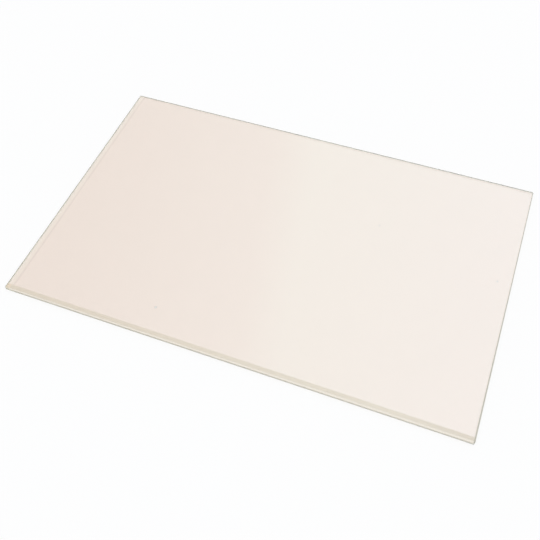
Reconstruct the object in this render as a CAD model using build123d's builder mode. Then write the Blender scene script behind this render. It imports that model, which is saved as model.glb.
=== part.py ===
"""A fridge's plain glass shelf: one pane of toughened float glass with ground edges."""

import os

from build123d import *

# Driving dimensions in millimetres
pane_width = 472.0
pane_depth = 300.0
glass_thickness = 4.0
corner_radius = 1.5
edge_arris = 0.6
front_bevel_width = 4.8
front_bevel_drop = 0.5

# The front edge is at -Y, the underside lies on Z = 0 and the pane is centred on X and Y
front_y = -pane_depth / 2
bevel_toe = (front_y + edge_arris, glass_thickness - front_bevel_drop)
bevel_crease = (front_y + edge_arris + front_bevel_width, glass_thickness)
nose_top = (front_y, glass_thickness - front_bevel_drop - edge_arris)

with BuildPart() as glass_pane:
    # The pane is cut to size with its four corners dubbed
    with BuildSketch(Plane.XY):
        RectangleRounded(pane_width, pane_depth, corner_radius)
    extrude(amount=glass_thickness)

    # The rim of both faces is seamed at 45 degrees all the way round
    rims = glass_pane.edges().group_by(Axis.Z)
    chamfer(rims[0] + rims[-1], length=edge_arris)

    # The front edge is then ground along its whole length: a shallow bevel that
    # slopes down from the crease on the top face, and a new arris at its toe
    with BuildSketch(Plane.YZ):
        with BuildLine():
            Polyline(
                nose_top,
                bevel_toe,
                bevel_crease,
                (front_y, glass_thickness),
                close=True,
            )
        make_face()
    extrude(amount=pane_width / 2, both=True, mode=Mode.SUBTRACT)

glass_pane.part.label = "glass_pane"

os.makedirs("parts", exist_ok=True)
export_step(glass_pane.part, "parts/glass_pane.step")
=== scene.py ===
"""A fridge's glass shelf lying on a pale floor in soft studio light.

The pane keeps the solid that the frame gives. One glass finish covers it, and tells the polished
faces, the satin front bevel and the ground rim apart by where they lie on the pane.
"""

import math
from collections import namedtuple

import bpy
import numpy as np
from mathutils import Matrix, Vector


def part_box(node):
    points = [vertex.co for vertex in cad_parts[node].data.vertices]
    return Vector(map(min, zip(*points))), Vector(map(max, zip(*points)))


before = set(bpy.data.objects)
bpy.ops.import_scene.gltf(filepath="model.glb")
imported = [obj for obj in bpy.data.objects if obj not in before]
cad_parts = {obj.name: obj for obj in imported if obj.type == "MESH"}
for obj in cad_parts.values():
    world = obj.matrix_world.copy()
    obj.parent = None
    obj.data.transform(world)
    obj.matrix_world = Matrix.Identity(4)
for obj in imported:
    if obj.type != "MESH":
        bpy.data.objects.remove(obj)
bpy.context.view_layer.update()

# The pane, in metres
pane_low, pane_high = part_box("glass_pane")
glass_thickness = pane_high.z - pane_low.z
corner_radius = 0.0015
edge_arris = 0.0006
front_bevel_width = 0.0048
front_bevel_drop = 0.0005

# Marks on the top face: the margin that a faint slanting line leaves beside the left edge, how far
# that line fades to each side, the width at the front of a strip of painted shade beside the right
# edge, and specks of dust by place and radius
margin_back_width = 0.0066
margin_front_width = 0.0079
margin_line_reach = 0.0022
right_shade_strip_width = 0.0008
dust_specks = (
    (-0.0818, -0.1197, 0.0018),
    (0.0942, 0.0511, 0.0012),
    (0.2220, 0.0219, 0.0012),
)

# Marks on the front bevel: its left end, the stretch in which a painted shade darkens it towards
# its right end, and how far in from the front edge its light toe, a painted highlight, reaches at
# the left and at the right
bevel_end_width = 0.0052
bevel_painted_shade_length = 0.08
toe_left_reach = 0.0012
toe_right_reach = 0.00175

# Glass: for each part of the pane its tint, roughness and clearness. Its grain is the pattern that
# makes the tint and the relief uneven, the tint by a share and the relief in metres.
Finish = namedtuple("Finish", "tint roughness clearness grain uneven relief")
face_finish = Finish((0.984, 0.877, 0.813), 0.010, 1.0, "wave", 0.008, 0.00008)
margin_finish = face_finish._replace(tint=(0.983, 0.906, 0.832))
margin_line_finish = face_finish._replace(tint=(0.895, 0.790, 0.725))
dust_finish = face_finish._replace(tint=(0.62, 0.58, 0.53), roughness=0.6, clearness=0.6)
bevel_finish = Finish((0.765, 0.679, 0.545), 0.32, 0.80, "grind", 0.10, 0.00002)
bevel_end_finish = bevel_finish._replace(tint=(0.88, 0.73, 0.55))
# Painted shade: the bevel's tint, darker, towards its right end
bevel_painted_shade_finish = bevel_finish._replace(tint=(0.700, 0.614, 0.490))
upright_finish = Finish((0.80, 0.79, 0.69), 0.45, 0.60, "frost", 0.12, 0.00004)
# Painted light: the rim on the left edge, lighter and clearer than on the other sides
left_edge_painted_light_finish = upright_finish._replace(tint=(0.93, 0.91, 0.82), clearness=0.80)
# The upper seam's dark tint is painted shade, and the lower seam's light tint is painted light
upper_seam_painted_shade_finish = Finish((0.56, 0.53, 0.44), 0.50, 0.50, "frost", 0.12, 0.00004)
lower_seam_painted_light_finish = Finish((0.95, 0.92, 0.78), 0.45, 0.90, "frost", 0.12, 0.00004)
nose_finish = Finish((0.83, 0.79, 0.65), 0.50, 0.50, "frost", 0.12, 0.00004)
# Painted light: the nose lighter towards the right
nose_right_painted_light_finish = nose_finish._replace(tint=(0.97, 0.94, 0.81))
# Painted highlight: the toe's light tint along the front, above the nose
toe_highlight_finish = Finish((0.905, 0.825, 0.715), 0.40, 0.10, "frost", 0.08, 0.00004)
wave_size = 0.09
grind_size = 0.0003
grind_length = 0.03
frost_size = 0.0004
noise_middle = 0.5
roughness_swing = 0.8
glass_ior = 1.52
body_green = (0.52, 0.90, 0.70)
body_green_density = 9.0

# Floor
floor_half_side = 12.0
floor_gap = 0.0002
floor_colour = (0.96, 0.94, 0.94)
floor_white_share = 0.82

# Studio light: a dome with a level for each height, and one soft panel high behind the pane, with
# a colour for each distance towards its brighter side
dome_levels = (
    (0.00, 1.00),
    (0.12, 1.00),
    (0.40, 0.50),
    (0.70, 0.90),
    (1.00, 1.60),
)
panel_centre = (-0.23, 0.57, 0.79)
panel_inner_angle = math.radians(26.0)
panel_outer_angle = math.radians(45.0)
panel_brighter_side = (0.968, 0.210, 0.135)
panel_levels = (
    (-0.34, (0.45, 0.27, 0.19)),
    (-0.03, (0.93, 0.99, 1.02)),
    (0.03, (1.13, 1.47, 1.48)),
    (0.31, (1.30, 1.60, 1.88)),
)
brightest_level = max(max(colour) for side, colour in panel_levels)

# Camera, aimed at a point on the top face
aim_point = (0.00708, -0.04056, glass_thickness)
aim_distance = 0.72240
camera_heading = math.radians(-23.724)
camera_dip = math.radians(54.689)
camera_roll = math.radians(3.246)
camera_lens = 48.004
camera_near_limit = 0.01


def add_node(tree, kind, **settings):
    """Adds a node of that kind to a node tree, with its properties set by name."""
    node = tree.nodes.new(kind)
    for name, value in settings.items():
        setattr(node, name, value)
    return node


def feed(tree, socket, value):
    """Links another node's output to a socket, or sets a plain value on it."""
    if isinstance(value, bpy.types.NodeSocket):
        tree.links.new(value, socket)
    else:
        socket.default_value = value


def feed_all(tree, sockets, values):
    """Feeds the first sockets with the values, in order."""
    for socket, value in zip(sockets, values):
        feed(tree, socket, value)


def maths(tree, operation, *values):
    """One Math node on up to three numbers or outputs."""
    node = add_node(tree, "ShaderNodeMath", operation=operation)
    feed_all(tree, node.inputs, values)
    return node.outputs["Value"]


def above(tree, value, limit):
    """1 where the value is over the limit, and 0 elsewhere."""
    return maths(tree, "GREATER_THAN", value, limit)


def below(tree, value, limit):
    """1 where the value is under the limit, and 0 elsewhere."""
    return maths(tree, "LESS_THAN", value, limit)


def both(tree, first, second):
    """Where two shares hold together: their product."""
    return maths(tree, "MULTIPLY", first, second)


def rise(tree, value, start, end, course="SMOOTHSTEP"):
    """Goes from 0 at start to 1 at end and stays there.

    With t the way from start to end, it is t squared times (3 - 2 t), or t itself if LINEAR.
    """
    node = add_node(tree, "ShaderNodeMapRange", interpolation_type=course)
    feed(tree, node.inputs["Value"], value)
    node.inputs["From Min"].default_value = start
    node.inputs["From Max"].default_value = end
    return node.outputs["Result"]


def socket_of(sockets, identifier):
    """The socket with that identifier, on a node where several share a name."""
    return next(socket for socket in sockets if socket.identifier == identifier)


def blend_colours(tree, share, first, second):
    """Goes from the first colour to the second as the share goes from 0 to 1."""
    node = add_node(tree, "ShaderNodeMix", data_type="RGBA")
    feed(tree, node.inputs["Factor"], share)
    for identifier, colour in (("A_Color", first), ("B_Color", second)):
        value = (*colour, 1.0) if isinstance(colour, tuple) else colour
        feed(tree, socket_of(node.inputs, identifier), value)
    return socket_of(node.outputs, "Result_Color")


def blend_values(tree, share, first, second):
    """Goes from the first number to the second as the share goes from 0 to 1."""
    node = add_node(tree, "ShaderNodeMix", data_type="FLOAT")
    feed(tree, node.inputs["Factor"], share)
    feed(tree, socket_of(node.inputs, "A_Float"), first)
    feed(tree, socket_of(node.inputs, "B_Float"), second)
    return socket_of(node.outputs, "Result_Float")


def blend_shaders(tree, share, first, second):
    """Goes from the first shader to the second as the share goes from 0 to 1."""
    node = add_node(tree, "ShaderNodeMixShader")
    feed_all(tree, node.inputs, (share, first, second))
    return node.outputs["Shader"]


def new_finish(name):
    """A material with its node tree and its Principled shader."""
    material = bpy.data.materials.new(name)
    material.use_nodes = True
    return material, material.node_tree, material.node_tree.nodes["Principled BSDF"]


def grains(tree, place, size, length):
    """Noise from -0.5 to 0.5 with grains of one size, drawn out to a length along X."""
    mapping = add_node(tree, "ShaderNodeMapping")
    feed(tree, mapping.inputs["Vector"], place)
    mapping.inputs["Scale"].default_value = (1.0 / length, 1.0 / size, 1.0 / size)
    noise = add_node(tree, "ShaderNodeTexNoise")
    feed(tree, noise.inputs["Vector"], mapping.outputs["Vector"])
    noise.inputs["Scale"].default_value = 1.0
    return maths(tree, "SUBTRACT", noise.outputs["Fac"], noise_middle)


def dust(tree, x, y):
    """Round specks: 1 at each place, fading to 0 at the radius."""
    specks = 0.0
    for dust_x, dust_y, dust_radius in dust_specks:
        aside = maths(tree, "SUBTRACT", x, dust_x)
        ahead = maths(tree, "SUBTRACT", y, dust_y)
        squares = maths(tree, "MULTIPLY_ADD", ahead, ahead, maths(tree, "MULTIPLY", aside, aside))
        distance = maths(tree, "SQRT", squares)
        specks = maths(tree, "MAXIMUM", specks, rise(tree, distance, dust_radius, 0.0))
    return specks


def face_parts(tree, x, y, upper_half, to_front):
    """Marks on the top face: the margin left of the faint line, the line, and the dust."""
    line_at_back = pane_low.x + margin_back_width
    line_at_front = pane_low.x + margin_front_width
    line = blend_values(tree, to_front, line_at_back, line_at_front)
    from_line = maths(tree, "ABSOLUTE", maths(tree, "SUBTRACT", x, line))
    margin = both(tree, upper_half, below(tree, x, line))
    margin_line = both(tree, upper_half, rise(tree, from_line, margin_line_reach, 0.0))
    specks = both(tree, upper_half, dust(tree, x, y))
    return (
        (margin, margin_finish),
        (margin_line, margin_line_finish),
        (specks, dust_finish),
    )


def bevel_parts(tree, x, y, upper_half):
    """The bevel before its crease, its left end, and painted shade darkening it towards the right
    end.
    """
    crease = pane_low.y + edge_arris + front_bevel_width
    bevel = both(tree, upper_half, below(tree, y, crease))
    bevel_end = both(tree, bevel, below(tree, x, pane_low.x + bevel_end_width))
    # Painted shade that darkens the bevel towards its right end
    shade_start = pane_high.x - bevel_painted_shade_length
    bevel_painted_shade = both(tree, bevel, rise(tree, x, shade_start, pane_high.x))
    return (
        (bevel, bevel_finish),
        (bevel_end, bevel_end_finish),
        (bevel_painted_shade, bevel_painted_shade_finish),
    )


def rim_parts(tree, x, y, z, upper_half, to_front):
    """The ground rim within one arris of the edge lines, and a strip of painted shade inside its
    right seam.

    The strip widens from nothing at the back. The uprights are the whole rim, and the seams are
    the parts of it next to the faces, the upper one darker as painted shade and the lower one
    lighter as painted light. The left edge is its upright with the upper seam, made lighter as
    painted light.
    """
    rim_start = pane_high.x - edge_arris
    # Painted shade: a dark strip inside the right seam, widening towards the front
    strip_start = blend_values(tree, to_front, rim_start, rim_start - right_shade_strip_width)
    right_shade_strip = both(tree, upper_half, above(tree, x, strip_start))
    side_rim = above(tree, maths(tree, "ABSOLUTE", x), rim_start)
    end_rim = above(tree, maths(tree, "ABSOLUTE", y), pane_high.y - edge_arris)
    rim = maths(tree, "MAXIMUM", side_rim, end_rim)
    # Painted shade: the upper seam's darker tint
    upper_seam = both(tree, rim, above(tree, z, glass_thickness - edge_arris))
    # Painted light on the left edge's rim
    left_edge = below(tree, x, pane_low.x + edge_arris)
    # Painted light: the lower seam's lighter tint
    lower_seam = both(tree, rim, below(tree, z, edge_arris))
    return (
        (right_shade_strip, upper_seam_painted_shade_finish),
        (rim, upright_finish),
        (upper_seam, upper_seam_painted_shade_finish),
        (left_edge, left_edge_painted_light_finish),
        (lower_seam, lower_seam_painted_light_finish),
    )


def nose_parts(tree, x, y, z):
    """The upright at the front, from corner to corner, and the light toe above it, a painted
    highlight.

    The nose goes lighter towards the right, as painted light. The toe, a painted highlight, lies on
    the seam between the nose and the bevel, with the first of the bevel, and reaches further on the
    right. It starts past the bevel's left end.
    """
    to_right = rise(tree, x, pane_low.x, pane_high.x)
    between_corners = below(tree, maths(tree, "ABSOLUTE", x), pane_high.x - corner_radius)
    nose = both(tree, between_corners, below(tree, y, pane_low.y + edge_arris))
    # Painted light that lightens the nose towards the right
    nose_painted_light = both(tree, nose, to_right)
    toe_at_left = pane_low.y + toe_left_reach
    toe_at_right = pane_low.y + toe_right_reach
    toe_line = blend_values(tree, to_right, toe_at_left, toe_at_right)
    nose_top = glass_thickness - front_bevel_drop - edge_arris
    toe_strip = both(tree, below(tree, y, toe_line), above(tree, z, nose_top))
    past_end = above(tree, x, pane_low.x + bevel_end_width)
    # Painted highlight along the front, above the nose
    toe_highlight = both(tree, toe_strip, both(tree, between_corners, past_end))
    return (
        (nose, nose_finish),
        (nose_painted_light, nose_right_painted_light_finish),
        (toe_highlight, toe_highlight_finish),
    )


def pane_parts(tree, place):
    """The parts that differ from the faces: where each lies, as a share of 0 to 1, and its finish.

    A part covers those before it.
    """
    axes = add_node(tree, "ShaderNodeSeparateXYZ")
    feed(tree, axes.inputs["Vector"], place)
    x, y, z = axes.outputs
    upper_half = above(tree, z, glass_thickness / 2)
    to_front = rise(tree, y, pane_high.y, pane_low.y, "LINEAR")
    return (
        *face_parts(tree, x, y, upper_half, to_front),
        *bevel_parts(tree, x, y, upper_half),
        *rim_parts(tree, x, y, z, upper_half, to_front),
        *nose_parts(tree, x, y, z),
    )


def cover(tree, share, finish, part, pattern):
    """The finish so far with a part's finish over it, as far as the part's share goes."""
    return Finish(
        blend_colours(tree, share, finish.tint, part.tint),
        blend_values(tree, share, finish.roughness, part.roughness),
        blend_values(tree, share, finish.clearness, part.clearness),
        blend_values(tree, share, finish.grain, pattern),
        blend_values(tree, share, finish.uneven, part.uneven),
        blend_values(tree, share, finish.relief, part.relief),
    )


def tint_body(tree):
    """The body of the glass takes out more red and blue the further the light goes in it."""
    body = add_node(tree, "ShaderNodeVolumeAbsorption")
    body.inputs["Color"].default_value = (*body_green, 1.0)
    body.inputs["Density"].default_value = body_green_density
    tree.links.new(body.outputs["Volume"], tree.nodes["Material Output"].inputs["Volume"])


def shelf_glass():
    """Float glass with a faint warm tint: polished faces, a satin bevel and a ground rim."""
    material, tree, shader = new_finish("shelf_glass")
    place = add_node(tree, "ShaderNodeTexCoord").outputs["Object"]
    patterns = {
        "wave": grains(tree, place, wave_size, wave_size),
        "grind": grains(tree, place, grind_size, grind_length),
        "frost": grains(tree, place, frost_size, frost_size),
    }
    finish = face_finish._replace(grain=patterns[face_finish.grain])
    for share, part in pane_parts(tree, place):
        finish = cover(tree, share, finish, part, patterns[part.grain])

    shade = add_node(tree, "ShaderNodeVectorMath", operation="SCALE")
    feed(tree, shade.inputs["Vector"], finish.tint)
    feed(tree, shade.inputs["Scale"], maths(tree, "MULTIPLY_ADD", finish.grain, finish.uneven, 1.0))
    feed(tree, shader.inputs["Base Color"], shade.outputs["Vector"])
    swing = maths(tree, "MULTIPLY_ADD", finish.grain, roughness_swing, 1.0)
    feed(tree, shader.inputs["Roughness"], maths(tree, "MULTIPLY", finish.roughness, swing))
    feed(tree, shader.inputs["Transmission Weight"], finish.clearness)
    shader.inputs["IOR"].default_value = glass_ior
    bump = add_node(tree, "ShaderNodeBump")
    bump.inputs["Distance"].default_value = 1.0
    feed(tree, bump.inputs["Height"], maths(tree, "MULTIPLY", finish.grain, finish.relief))
    feed(tree, shader.inputs["Normal"], bump.outputs["Normal"])
    tint_body(tree)
    return material


def flat_sheet(half_side, height):
    """A level square: x and y run from -half_side to half_side on a 2 by 2 grid, z is height."""
    reach = np.array((-half_side, half_side))
    x, y = np.meshgrid(reach, reach, indexing="ij")
    points = np.stack((x, y, np.full_like(x, height)), axis=-1).reshape(-1, 3)
    return points, [(0, 2, 3, 1)]


def pale_floor():
    """Matt white that takes the pane's shadow, mixed with plain white as the background.

    The white is for what the camera sees, by itself, in a reflection or through the glass.
    """
    material, tree, shader = new_finish("pale_floor")
    shader.inputs["Base Color"].default_value = (*floor_colour, 1.0)
    shader.inputs["Specular IOR Level"].default_value = 0.0
    white = add_node(tree, "ShaderNodeEmission")
    ray = add_node(tree, "ShaderNodeLightPath").outputs
    mirrored = maths(tree, "MAXIMUM", ray["Is Camera Ray"], ray["Is Glossy Ray"])
    seen = maths(tree, "MAXIMUM", mirrored, ray["Is Transmission Ray"])
    white_share = maths(tree, "MULTIPLY", seen, floor_white_share)
    mixed = blend_shaders(tree, white_share, shader.outputs["BSDF"], white.outputs["Emission"])
    tree.links.new(mixed, tree.nodes["Material Output"].inputs["Surface"])
    return material


def lay_floor():
    """The floor that the pane lies on, a hair below it so that the two faces stay apart."""
    points, faces = flat_sheet(floor_half_side, -floor_gap)
    mesh = bpy.data.meshes.new("floor")
    mesh.from_pydata(points.tolist(), [], faces)
    mesh.materials.append(pale_floor())
    floor = bpy.data.objects.new("floor", mesh)
    bpy.context.scene.collection.objects.link(floor)


def closeness(tree, direction, axis):
    """The dot product of a direction and an axis."""
    node = add_node(tree, "ShaderNodeVectorMath", operation="DOT_PRODUCT")
    feed_all(tree, node.inputs, (direction, axis))
    return node.outputs["Value"]


def level_ramp(tree, place, stops, course):
    """Light that runs through the stops, each a place from 0 to 1 and a grey or coloured level."""
    ramp = add_node(tree, "ShaderNodeValToRGB")
    ramp.color_ramp.interpolation = course
    while len(ramp.color_ramp.elements) < len(stops):
        ramp.color_ramp.elements.new(1.0)
    for element, (position, level) in zip(ramp.color_ramp.elements, stops):
        element.position = position
        element.color = (*(np.full(3, level) / brightest_level), 1.0)
    feed(tree, ramp.inputs["Fac"], place)
    light = add_node(tree, "ShaderNodeBackground")
    feed(tree, light.inputs["Color"], ramp.outputs["Color"])
    light.inputs["Strength"].default_value = brightest_level
    return light.outputs["Background"]


def dome_light(tree, direction):
    """Light from all round, whose level follows the height of the direction."""
    height = closeness(tree, direction, (0.0, 0.0, 1.0))
    return level_ramp(tree, height, dome_levels, "EASE")


def panel_light(tree, direction):
    """Light whose colour follows the dot product with the panel's brighter side."""
    sideways = closeness(tree, direction, panel_brighter_side)
    place_on_panel = rise(tree, sideways, -1.0, 1.0, "LINEAR")
    stops = [((side + 1.0) / 2, colour) for side, colour in panel_levels]
    return level_ramp(tree, place_on_panel, stops, "LINEAR")


def light_studio():
    """A soft dome with one panel, which fades in between two angles from its centre."""
    world = bpy.data.worlds.new("studio")
    world.use_nodes = True
    tree = world.node_tree
    direction = add_node(tree, "ShaderNodeTexCoord").outputs["Generated"]
    dome = dome_light(tree, direction)
    panel = panel_light(tree, direction)
    inward = closeness(tree, direction, panel_centre)
    panel_share = rise(tree, inward, math.cos(panel_outer_angle), math.cos(panel_inner_angle))
    mixed = blend_shaders(tree, panel_share, dome, panel)
    tree.links.new(mixed, tree.nodes["World Output"].inputs["Surface"])
    bpy.context.scene.world = world


def set_camera():
    """Looks down on the pane from the front right, with the photo's heading, dip and roll."""
    level_reach = math.cos(camera_dip)
    forward = Vector((
        math.sin(camera_heading) * level_reach,
        math.cos(camera_heading) * level_reach,
        -math.sin(camera_dip),
    ))
    level_right = Vector((math.cos(camera_heading), -math.sin(camera_heading), 0.0))
    level_up = level_right.cross(forward)
    right = math.cos(camera_roll) * level_right - math.sin(camera_roll) * level_up
    up = math.sin(camera_roll) * level_right + math.cos(camera_roll) * level_up
    pose = Matrix((right, up, -forward)).transposed().to_4x4()
    pose.translation = Vector(aim_point) - aim_distance * forward
    lens = bpy.data.cameras.new("camera")
    lens.lens = camera_lens
    lens.clip_start = camera_near_limit
    camera = bpy.data.objects.new("camera", lens)
    camera.matrix_world = pose
    bpy.context.scene.collection.objects.link(camera)
    bpy.context.scene.camera = camera


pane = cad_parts["glass_pane"]
pane.data.materials.clear()
pane.data.materials.append(shelf_glass())
lay_floor()
light_studio()
set_camera()
bpy.context.scene.view_settings.view_transform = "Standard"
